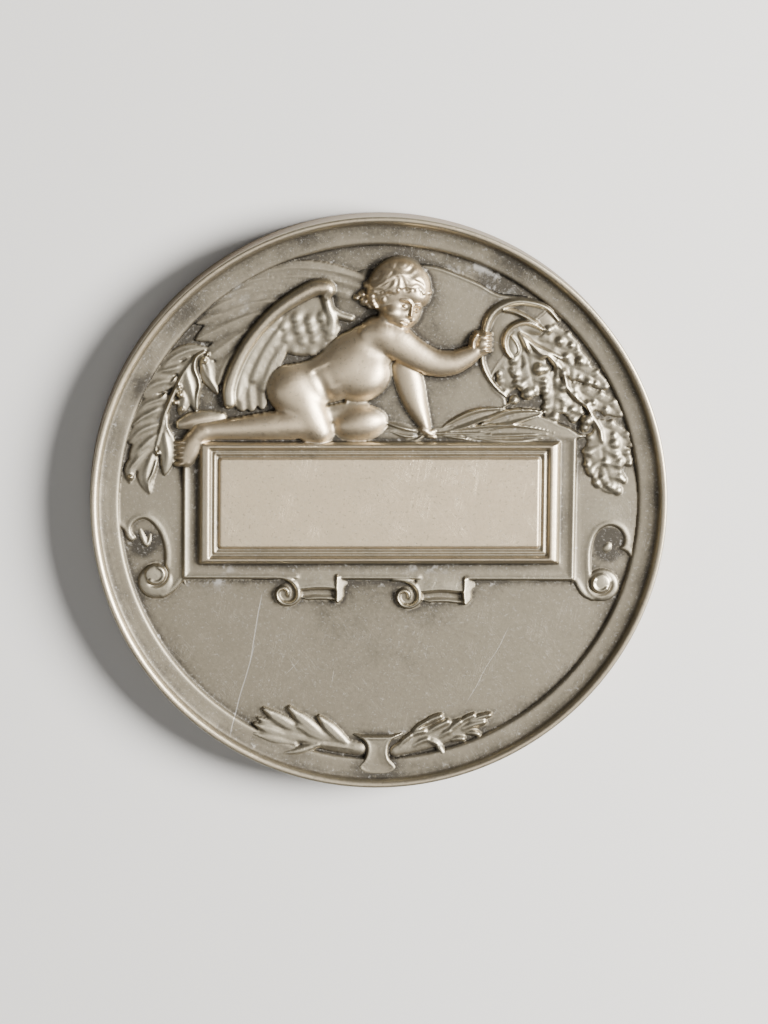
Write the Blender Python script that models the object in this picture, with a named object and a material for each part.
"""A struck art medal, 50 mm across, modelled face up on its reverse rim.

The flan is one turned disc. Each motif that the die raises on it is a closed solid of its own, resting a
hair above whatever lies under it. The design is drawn in millimetres and built in metres. +X is the
viewer's right and +Y the top of the design, +Z leaves the decorated face, and the origin is the middle of
the reverse rim's plane.
"""

import math

import bmesh
import bpy
from mathutils import Vector

MM = 0.001

# Driving dimensions, in millimetres.
RADIUS = 25.0           # the flan's outside
RIM_TOP = 4.0           # top of the raised lip round the face
FIELD = 2.9             # the sunk field of the face
BAND_INNER = 22.5       # inside of the broad border band
BAND_LOW, BAND_HIGH = 3.25, 3.6
REVERSE_FIELD = 0.6     # the sunk field of the reverse, above the plane the medal lies on
GAP = 0.05              # between a motif and what it rests on
FLAN_SEGMENTS = 64

# The tablet, about its own middle. Each later half size adds to the plate's.
TABLET_Y = 0.08
PLATE_HALF_X, PLATE_HALF_Y = 13.95, 4.0
PLATE_TOP = 3.8
MOULDING_TOP, MOULDING_STEP = 4.0, 3.75
MOULDING_INNER, MOULDING_CREST, MOULDING_OUTER = 0.2, 0.85, 1.65
SLAB_HALF_X = 17.1
SLAB_BOTTOM, SLAB_TOP_EDGE = -6.7, 5.35
SLAB_TOP = 3.3

SILVERED = ((0.47, 0.45, 0.41), 0.34)
WORN = ((0.66, 0.59, 0.47), 0.30)
TONED = ((0.30, 0.29, 0.27), 0.42)
BRONZE_EDGE = ((0.40, 0.35, 0.29), 0.38)


# ---------------------------------------------------------------- scene and materials


def clear_scene():
    for old in list(bpy.data.objects):
        bpy.data.objects.remove(old)


def metal(name, finish):
    """A metal material, shared by the pieces that have the same finish."""
    found = bpy.data.materials.get(name)
    if found:
        return found
    colour, roughness = finish
    material = bpy.data.materials.new(name)
    material.use_nodes = True
    shader = material.node_tree.nodes["Principled BSDF"]
    shader.inputs["Base Color"].default_value = (*colour, 1.0)
    shader.inputs["Roughness"].default_value = roughness
    shader.inputs["Metallic"].default_value = 1.0
    return material


def object_from(bm, name, material=None):
    """An object of this bmesh, whose points are in millimetres."""
    bmesh.ops.scale(bm, vec=(MM, MM, MM), verts=bm.verts)
    mesh = bpy.data.meshes.new(name)
    bm.to_mesh(mesh)
    bm.free()
    obj = bpy.data.objects.new(name, mesh)
    bpy.context.scene.collection.objects.link(obj)
    if material:
        mesh.materials.append(material)
    return obj


def as_helper(obj):
    obj.hide_render = True
    obj.display_type = "WIRE"
    return obj


# ---------------------------------------------------------------- convex lumps

BIG_BALL = (10, 5)      # sides and rings
SMALL_BALL = (6, 3)
SMALL_REACH = 0.62      # up to this reach a ball is a small one


def ball(x, y, reach, height, turn=0.0, z=FIELD, long=None):
    """Points on an ellipsoid: reach across, height up from z, and long along turn, in degrees."""
    long = long or reach
    sides, rings = BIG_BALL if long > SMALL_REACH else SMALL_BALL
    along = Vector((math.cos(math.radians(turn)), math.sin(math.radians(turn)), 0))
    across = Vector((-along.y, along.x, 0))
    points = [Vector((x, y, z + height)), Vector((x, y, z - height))]
    for ring in range(1, rings + 1):
        tilt = math.pi * ring / (rings + 1)
        for side in range(sides):
            spin = 2 * math.pi * side / sides
            flat = along * (long * math.cos(spin)) + across * (reach * math.sin(spin))
            points.append(Vector((x, y, z)) + flat * math.sin(tilt) + Vector((0, 0, height * math.cos(tilt))))
    return points


def limb(*joints):
    """Lumps from joint to joint, each (x, y, reach, height)."""
    balls = [ball(*joint) for joint in joints]
    return [first + second for first, second in zip(balls, balls[1:])]


def leaf(x, y, turn, length, width, height):
    """A pointed leaf from (x, y) along turn, with a raised rib."""
    along = Vector((math.cos(math.radians(turn)), math.sin(math.radians(turn)), 0))
    across = Vector((-along.y, along.x, 0))
    foot = Vector((x, y, FIELD))
    points = []
    for share, half, rib in ((0.0, 0.0, 0.7), (0.3, 1.0, 1.0), (0.65, 0.85, 1.0), (1.0, 0.0, 0.5)):
        middle = foot + along * (length * share)
        if half:
            points += [middle + across * (width / 2 * half * side) + Vector((0, 0, height * 0.4))
                       for side in (-1, 1)]
        points += [middle + Vector((0, 0, height * rib)), middle - Vector((0, 0, height))]
    return [points]


def oak_leaf(x, y, turn, length, width, height):
    """A lobed leaf: a rib with two pairs of short lobes set aslant, and a blunt tip."""
    along = Vector((math.cos(math.radians(turn)), math.sin(math.radians(turn))))
    lumps = leaf(x, y, turn, length, width * 0.55, height)
    for share in (0.22, 0.52):
        foot = Vector((x, y)) + along * (length * share)
        for side in (-1, 1):
            lumps += leaf(foot.x, foot.y, turn + side * 52, width * 0.62, width * 0.42, height * 0.85)
    return lumps


def on_stem(stem, share):
    """The (x, y) this share of the way along a stem's joints."""
    spans = [math.dist(a[:2], b[:2]) for a, b in zip(stem, stem[1:])]
    left = share * sum(spans)
    for (ax, ay, *_), (bx, by, *_), span in zip(stem, stem[1:], spans):
        if left <= span + 1e-6:
            return ax + (bx - ax) * left / span, ay + (by - ay) * left / span
        left -= span
    return stem[-1][:2]


def sprig(stem, leaves, one_leaf, *sizes):
    """A stem with leaves, each (share of the stem, turn, length, and any width)."""
    lumps = limb(*stem)
    for share, turn, length, *width in leaves:
        lumps += one_leaf(*on_stem(stem, share), turn, length, *width, *sizes)
    return lumps


def slab_between(lower, upper, bottom, top):
    """One convex slab: an outline at the bottom and an inset one at the top."""
    return [Vector((x, y, bottom)) for x, y in lower] + [Vector((x, y, top)) for x, y in upper]


def rectangle(left, low, right, high):
    return [(left, low), (right, low), (right, high), (left, high)]


# ---------------------------------------------------------------- motifs from lumps

MOTIF_LUMPS = {}        # each motif's lumps, for cutting what rests on it


def hulls(lumps, grow=0.0):
    """A bmesh with the convex hull of each lump, each grown by this much on every side."""
    bm = bmesh.new()
    steps = (-grow, grow) if grow else (0,)
    corners = [Vector((i, j, k)) for i in steps for j in steps for k in steps]
    for points in lumps:
        made = [bm.verts.new(point + corner) for point in points for corner in corners]
        found = bmesh.ops.convex_hull(bm, input=made)
        inside = {item for item in found["geom_interior"] + found["geom_unused"]
                  if isinstance(item, bmesh.types.BMVert)}
        bmesh.ops.delete(bm, geom=list(inside), context="VERTS")
    bmesh.ops.recalc_face_normals(bm, faces=bm.faces)
    return bm


def boolean(obj, operation, other):
    cut = obj.modifiers.new(operation.lower(), "BOOLEAN")
    cut.operation = operation
    cut.solver = "EXACT"
    cut.use_self = True
    cut.object = other


def disc_helper(name, radius, low, high):
    """A hidden disc round the medal's axis. What a motif may fill is what it shares with this."""
    points = []
    for i in range(FLAN_SEGMENTS):
        angle = 2 * math.pi * i / FLAN_SEGMENTS
        points += [Vector((radius * math.cos(angle), radius * math.sin(angle), z)) for z in (low, high)]
    return as_helper(object_from(hulls([points]), name))


def motif(name, lumps, material, space, on=()):
    """One closed solid of all these lumps: what is inside space and clear of the motifs named in on."""
    obj = object_from(hulls(lumps), name, material)
    boolean(obj, "INTERSECT", space)
    for other in on:
        boolean(obj, "DIFFERENCE", cutter_of(other))
    MOTIF_LUMPS[name] = lumps
    return obj


def cutter_of(name):
    """The named motif, grown by the gap, for cutting what rests on it."""
    found = bpy.data.objects.get("cutter_" + name)
    return found or as_helper(object_from(hulls(MOTIF_LUMPS[name], GAP), "cutter_" + name))


# ---------------------------------------------------------------- flan and tablet


def flan(material):
    """The disc: both lips, the border band and both sunk fields, turned from one profile."""
    profile = [(0.0, FIELD), (BAND_INNER, FIELD), (BAND_INNER + 0.1, BAND_LOW), (23.2, BAND_LOW + 0.08),
               (24.0, BAND_HIGH), (24.3, RIM_TOP), (24.8, RIM_TOP), (RADIUS, RIM_TOP - 0.2), (RADIUS, 0.2),
               (24.8, 0.0), (24.0, 0.0), (23.5, REVERSE_FIELD), (0.0, REVERSE_FIELD)]
    bm = bmesh.new()
    points = [bm.verts.new((radius, 0.0, z)) for radius, z in profile]
    edges = [bm.edges.new(pair) for pair in zip(points, points[1:])]
    bmesh.ops.spin(bm, geom=points + edges, cent=(0, 0, 0), axis=(0, 0, 1), angle=2 * math.pi,
                   steps=FLAN_SEGMENTS, use_merge=True)
    bmesh.ops.remove_doubles(bm, verts=bm.verts, dist=0.001)
    bmesh.ops.recalc_face_normals(bm, faces=bm.faces)
    obj = object_from(bm, "flan", material)
    obj.data.shade_smooth()
    obj.data.set_sharp_from_angle(angle=math.radians(25))
    return obj


def moulding(material):
    """The frame round the plate: a wide outer slope, a crest, and a stepped inner side."""
    bottom = SLAB_TOP + GAP
    section = [(MOULDING_OUTER, bottom), (MOULDING_OUTER - 0.1, bottom + 0.1),
               (MOULDING_CREST + 0.1, MOULDING_TOP), (MOULDING_CREST - 0.1, MOULDING_TOP),
               (0.6, MOULDING_STEP), (0.4, MOULDING_STEP),
               (MOULDING_INNER, bottom + 0.1), (MOULDING_INNER, bottom)]
    bm = bmesh.new()
    rings = []
    for offset, z in section:
        x, y = PLATE_HALF_X + offset, PLATE_HALF_Y + offset
        rings.append([bm.verts.new((px, py + TABLET_Y, z)) for px, py in rectangle(-x, -y, x, y)])
    for i, ring in enumerate(rings):
        for j in range(4):
            bm.faces.new((rings[i - 1][j - 1], rings[i - 1][j], ring[j], ring[j - 1]))
    bmesh.ops.recalc_face_normals(bm, faces=bm.faces)
    foot = rectangle(-PLATE_HALF_X - MOULDING_OUTER, TABLET_Y - PLATE_HALF_Y - MOULDING_OUTER,
                     PLATE_HALF_X + MOULDING_OUTER, TABLET_Y + PLATE_HALF_Y + MOULDING_OUTER)
    MOTIF_LUMPS["tablet_moulding"] = [slab_between(foot, foot, FIELD, MOULDING_TOP)]
    return object_from(bm, "tablet_moulding", material)


def tablet(space):
    """The slab with its ledge, and on it the moulding and the blank plate for an engraved name."""
    x, low, high, slope = SLAB_HALF_X, SLAB_BOTTOM, SLAB_TOP_EDGE, 0.18
    body = slab_between(rectangle(-x, low, x, high),
                        rectangle(-x + slope, low + slope, x - slope, high - slope), FIELD - 1, SLAB_TOP)
    ledge = slab_between([(-14.6, 5.0), (17.9, 5.0), (17.9, 5.9), (16.4, 6.8), (15.0, 7.3), (-13.6, 5.9)],
                         [(-14.5, 5.0), (17.6, 5.0), (17.6, 5.8), (16.3, 6.6), (15.0, 7.1), (-13.5, 5.8)],
                         FIELD - 1, SLAB_TOP)
    motif("tablet_slab", [body, ledge], metal("toned_silver", TONED), space)
    moulding(metal("silvered_bronze", SILVERED))
    edge = 0.12
    x, y = PLATE_HALF_X, PLATE_HALF_Y
    plate = slab_between(rectangle(-x, TABLET_Y - y, x, TABLET_Y + y),
                         rectangle(-x + edge, TABLET_Y - y + edge, x - edge, TABLET_Y + y - edge),
                         SLAB_TOP + GAP, PLATE_TOP)
    object_from(hulls([plate]), "tablet_plate", metal("worn_plate", WORN))


def spiral(x, y, start, turns, reach, end_reach, width, height, hand):
    """The joints of a rolled strap, from the outside in. hand is 1 anticlockwise and -1 clockwise."""
    steps = max(8, int(10 * turns))
    joints = []
    for i in range(steps + 1):
        share = i / steps
        angle = math.radians(start + hand * 360 * turns * share)
        r = reach + (end_reach - reach) * share
        joints.append((x + r * math.cos(angle), y + r * math.sin(angle), width, height))
    return joints


def brackets(space):
    """The two rolled straps that hang under the tablet."""
    for name, x in (("left_bracket", -6.6), ("right_bracket", 4.0)):
        roll = spiral(x - 1.35, -7.85, 85, 1.15, 1.0, 0.35, 0.2, 0.75, -1)
        tube = slab_between(rectangle(x - 0.6, -8.75, x + 3.3, SLAB_BOTTOM - GAP),
                            rectangle(x - 0.5, -8.3, x + 3.3, SLAB_BOTTOM - GAP - 0.1), FIELD - 1, 3.5)
        mouth = slab_between(rectangle(x + 3.2, -8.6, x + 3.75, SLAB_BOTTOM - GAP),
                             rectangle(x + 3.25, -8.4, x + 3.6, SLAB_BOTTOM - GAP - 0.1), FIELD - 1, 3.65)
        motif(name, limb(*roll) + [tube, mouth], metal("silvered_bronze", SILVERED), space)


def side_scrolls(space):
    """The C-shaped straps at the tablet's two ends, each ending in a volute."""
    for name, side in (("left_side_scroll", -1), ("right_side_scroll", 1)):
        hook = [(side * px, py, 0.2, 0.5) for px, py in
                ((21.5, -3.3), (21.35, -2.4), (20.7, -1.8), (19.9, -1.7), (19.0, -2.3), (18.45, -3.5),
                 (18.4, -4.6), (18.75, -5.6))]
        volute = spiral(side * 19.4, -6.75, 90 - side * 130, 1.3, 1.75, 0.55, 0.26, 0.6, side)
        tail = [(side * 17.55, -7.2, 0.22, 0.5), (side * 18.2, -8.15, 0.28, 0.6)]
        motif(name, limb(*hook) + limb(*volute) + limb(*tail, volute[1]) + limb(hook[-1], volute[7]),
              metal("silvered_bronze", SILVERED), space)


# ---------------------------------------------------------------- figure and wings


def putto(space):
    """The child kneeling on the ledge, one arm reaching to the shield and one propped on the branch."""
    body = [ball(-2.2, 12.1, 2.9, 1.5, 38, FIELD, 3.5), ball(-7.3, 9.8, 2.3, 1.55, 20, FIELD, 2.6)]
    waist = limb((-3.4, 11.4, 2.3, 1.5), (-6.6, 10.1, 2.1, 1.55))
    shoulder = limb((-0.9, 14.2, 1.6, 1.5), (0.7, 16.2, 1.0, 1.3))
    near_leg = limb((-6.8, 9.4, 1.9, 1.6), (-5.6, 6.9, 1.4, 1.5), (-7.6, 6.8, 1.2, 1.3),
                    (-11.5, 6.6, 0.95, 1.0), (-14.8, 6.4, 0.6, 0.9), (-16.4, 5.3, 0.75, 0.85),
                    (-17.0, 4.2, 0.55, 0.75))
    far_leg = limb((-3.2, 7.2, 1.2, 0.95), (-1.0, 7.3, 1.45, 1.15)) + [ball(-1.6, 8.6, 1.2, 0.9)]
    far_foot = limb((-15.2, 7.5, 0.55, 0.65), (-16.9, 6.9, 0.5, 0.65), (-15.8, 6.0, 0.4, 0.65))
    reach = limb((0.0, 14.8, 1.35, 1.6), (2.2, 13.6, 1.2, 1.55), (4.8, 12.3, 1.05, 1.4),
                 (7.4, 12.9, 0.75, 1.3), (8.5, 13.7, 0.65, 1.25), (8.9, 14.7, 0.55, 1.15))
    prop = limb((2.0, 11.9, 1.2, 1.0), (2.9, 9.8, 1.1, 1.0), (3.7, 7.6, 0.75, 0.95), (4.1, 6.5, 0.5, 0.85),
                (4.8, 6.1, 0.35, 0.7))
    skull = ball(1.3, 18.6, 2.5, 1.9, 15, FIELD, 2.75)
    jaw = ball(2.5, 17.2, 1.8, 1.75, 60, FIELD, 2.1)      # a child's, a third of the skull lower
    head = [skull, jaw]
    curls = [ball(-0.9, 17.1, 0.6, 1.1), ball(-1.6, 16.8, 0.4, 0.8), ball(-0.2, 16.7, 0.6, 1.2)]
    legs = near_leg + far_leg + far_foot
    motif("putto_figure", body + waist + shoulder + legs + reach + prop + head + curls,
          metal("worn_relief", WORN), space,
          on=("tablet_slab", "tablet_moulding", "shield", "shield_curl", "near_wing", "far_wing",
              "ledge_branch", "laurel_spray"))


def near_wing(space):
    """The folded wing: a thick leading edge, two rows of small feathers, and the long ones hanging below."""
    edge = limb((-4.0, 16.4, 0.45, 0.8), (-4.55, 18.7, 0.55, 1.0), (-6.2, 18.7, 0.6, 0.95),
                (-8.0, 17.6, 0.5, 0.9), (-9.6, 16.3, 0.4, 0.85), (-11.2, 14.4, 0.42, 0.85),
                (-12.4, 12.3, 0.48, 0.85), (-13.1, 10.2, 0.5, 0.85), (-13.0, 8.8, 0.5, 0.85))
    coverts = [lump for x, y in
               ((-5.6, 17.6), (-7.4, 17.2), (-9.0, 15.8), (-4.8, 16.3), (-6.4, 16.0), (-8.0, 15.4))
               for lump in leaf(x, y, -62, 3.2, 1.9, 0.75)]
    quills = [lump for x, y, length in
              ((-12.9, 10.6, 3.0), (-12.4, 12.2, 3.7), (-11.6, 13.6, 4.0), (-10.7, 15.0, 3.8))
              for lump in leaf(x, y, -60, length, 1.5, 0.65)]
    motif("near_wing", edge + coverts + quills, metal("silvered_bronze", SILVERED), space, on=("far_wing",))


def far_wing(space):
    """The wing behind: a fan of long flat feathers from the shoulder to the upper left."""
    root_x, root_y = -1.8, 18.0
    feathers = [lump for i, length in enumerate((8.4, 9.8, 11.4, 12.6, 13.2, 13.4))
                for lump in leaf(root_x, root_y, 164 + 6 * i, length, 1.9, 0.35)]
    motif("far_wing", feathers + [ball(-3.0, 18.0, 1.3, 0.35)], metal("toned_silver", TONED), space)


# ---------------------------------------------------------------- shield and foliage


def shield(space):
    """The sheet that the child writes on, and the rolled edge that curls over the oak spray."""
    top = 3.15
    upper = [(1.0, 13.2), (10.0, 13.2), (9.6, 16.8), (11.5, 17.9), (5.0, 20.2), (2.0, 20.4)]
    lower = [(1.2, 7.2), (11.6, 8.8), (9.0, 13.4), (1.0, 13.4)]
    motif("shield", [slab_between(outline, outline, FIELD - 1, top) for outline in (upper, lower)],
          metal("toned_silver", TONED), space)
    outer = limb(*[(x, y, 0.28, 0.8) for x, y in
                   ((15.2, 16.4), (13.4, 17.3), (11.4, 17.5), (9.9, 16.9), (9.2, 15.8), (8.9, 14.2),
                    (8.8, 12.6), (9.4, 11.1), (10.2, 9.9), (10.9, 9.2))])
    inner = limb(*[(x, y, 0.25, 0.7) for x, y in
                   ((14.4, 15.6), (13.6, 15.7), (12.3, 15.8), (11.2, 15.2), (10.8, 14.2), (11.0, 13.2))])
    link = limb((14.9, 16.3, 0.3, 0.7), (14.3, 15.6, 0.25, 0.7))
    motif("shield_curl", outer + inner + link, metal("silvered_bronze", SILVERED), space, on=("shield",))


def oak_spray(space):
    """The oak leaves and acorns that hang down the right, between the tablet and the border."""
    stem = [(x, y, 0.22, 0.6) for x, y in
            ((12.6, 13.9), (14.2, 12.9), (15.6, 11.2), (17.0, 9.6), (18.6, 8.0), (19.3, 5.6), (19.9, 3.2))]
    leaves = ((0.03, -110, 4.2, 3.2), (0.17, 25, 3.0, 2.4), (0.30, -5, 3.4, 2.4), (0.30, -105, 3.8, 2.6),
              (0.48, 10, 2.9, 2.2), (0.52, -115, 2.2, 1.9), (0.65, -15, 2.2, 1.9), (0.82, -20, 2.1, 2.2),
              (0.80, -145, 1.9, 1.7), (0.90, -90, 3.4, 3.0))
    motif("oak_spray", sprig(stem, leaves, oak_leaf, 0.75), metal("silvered_bronze", SILVERED), space,
          on=("tablet_slab", "tablet_moulding", "shield", "shield_curl"))


def laurel_spray(space):
    """The laurel that hangs down the left, behind the child's feet."""
    stem = [(x, y, 0.2, 0.5) for x, y in
            ((-14.6, 13.4), (-16.2, 11.6), (-17.8, 9.4), (-18.9, 7.0), (-19.6, 5.0), (-19.9, 3.4))]
    leaves = ((0.02, -75, 4.4), (0.16, -95, 3.8), (0.08, 160, 3.6), (0.28, 175, 3.4), (0.36, -80, 2.6),
              (0.44, 190, 3.0), (0.55, -75, 3.6), (0.60, 215, 3.4), (0.75, -70, 3.0), (0.80, 225, 3.0),
              (0.95, -100, 2.9), (0.93, 240, 2.8))
    motif("laurel_spray", sprig(stem, leaves, leaf, 1.25, 0.6), metal("silvered_bronze", SILVERED), space)


def ledge_branch(space):
    """The laurel branch that lies on the ledge under the child's hand."""
    stem = [(3.2, 5.9, 0.2, 0.75), (6.0, 6.1, 0.2, 0.75), (9.5, 6.5, 0.2, 0.75), (13.0, 6.3, 0.15, 0.7)]
    leaves = ((0.22, 28, 5.0), (0.43, 24, 4.4), (0.64, 22, 4.8), (0.30, -14, 3.6), (0.50, -12, 3.8),
              (0.72, -8, 4.0), (0.85, 8, 3.6), (0.05, 150, 2.6))
    motif("ledge_branch", sprig(stem, leaves, leaf, 0.95, 0.85), metal("silvered_bronze", SILVERED), space,
          on=("tablet_slab", "tablet_moulding", "shield"))


def base_sprays(space):
    """The two sprigs in the exergue, laurel on the left and oak on the right, and the tie between them."""
    stem = [(-2.2, -21.4, 0.35, 0.5), (-5.4, -20.7, 0.3, 0.5), (-8.2, -20.0, 0.2, 0.45)]
    leaves = ((0.2, 132, 2.6), (0.45, 140, 3.9), (0.75, 146, 3.9), (0.55, 188, 2.4), (0.9, 170, 2.6))
    motif("exergue_laurel", sprig(stem, leaves, leaf, 0.85, 0.55), metal("silvered_bronze", SILVERED), space)
    stem = [(2.2, -21.3, 0.35, 0.5), (4.4, -20.7, 0.25, 0.5), (6.6, -20.1, 0.2, 0.45)]
    leaves = ((0.25, 45, 2.6), (0.55, 30, 2.4), (0.95, 30, 3.2), (0.35, -8, 2.0), (0.9, -6, 2.3))
    motif("exergue_oak", sprig(stem, leaves, oak_leaf, 1.3, 0.5), metal("silvered_bronze", SILVERED), space)
    foot = [(-1.4, -20.3), (1.4, -20.3), (1.5, -22.3), (-1.5, -22.3)]
    top = [(-1.2, -20.5), (1.2, -20.5), (1.3, -22.2), (-1.3, -22.2)]
    tie = slab_between(foot, top, FIELD - 1, 3.3)
    motif("exergue_tie", [tie], metal("toned_silver", TONED), space)


def reverse_wreath():
    """A plain laurel wreath in the sunk field of the reverse, its two branches crossing at the foot."""
    top = REVERSE_FIELD - GAP
    below = disc_helper("reverse_space", 23.0, 0.12, top)
    wreath_radius, pairs = 18.0, 8
    for name, side in (("reverse_left_branch", -1), ("reverse_right_branch", 1)):
        places = [math.radians(-82 + 152 * i / (pairs + 1)) for i in range(pairs + 2)]
        joints = [(side * wreath_radius * math.cos(a), wreath_radius * math.sin(a), 0.3, 0.38, 0, top)
                  for a in places]
        lumps = limb(*joints)
        for a in places[1:-1]:
            x, y = side * wreath_radius * math.cos(a), wreath_radius * math.sin(a)
            heading = math.degrees(a) + 90 if side > 0 else 90 - math.degrees(a)
            for splay in (-32, 32):
                lumps += [[Vector((p.x, p.y, top - (p.z - FIELD))) for p in points]
                          for points in leaf(x, y, heading + splay, 5.2, 1.8, 0.4)]
        motif(name, lumps, metal("silvered_bronze", SILVERED), below)


def build():
    clear_scene()
    flan(metal("flan_edge", BRONZE_EDGE))
    space = disc_helper("face_space", BAND_INNER - 2 * GAP, FIELD + GAP, 9.0)
    tablet(space)
    brackets(space)
    side_scrolls(space)
    shield(space)
    far_wing(space)
    near_wing(space)
    laurel_spray(space)
    oak_spray(space)
    ledge_branch(space)
    putto(space)
    base_sprays(space)
    reverse_wreath()


build()
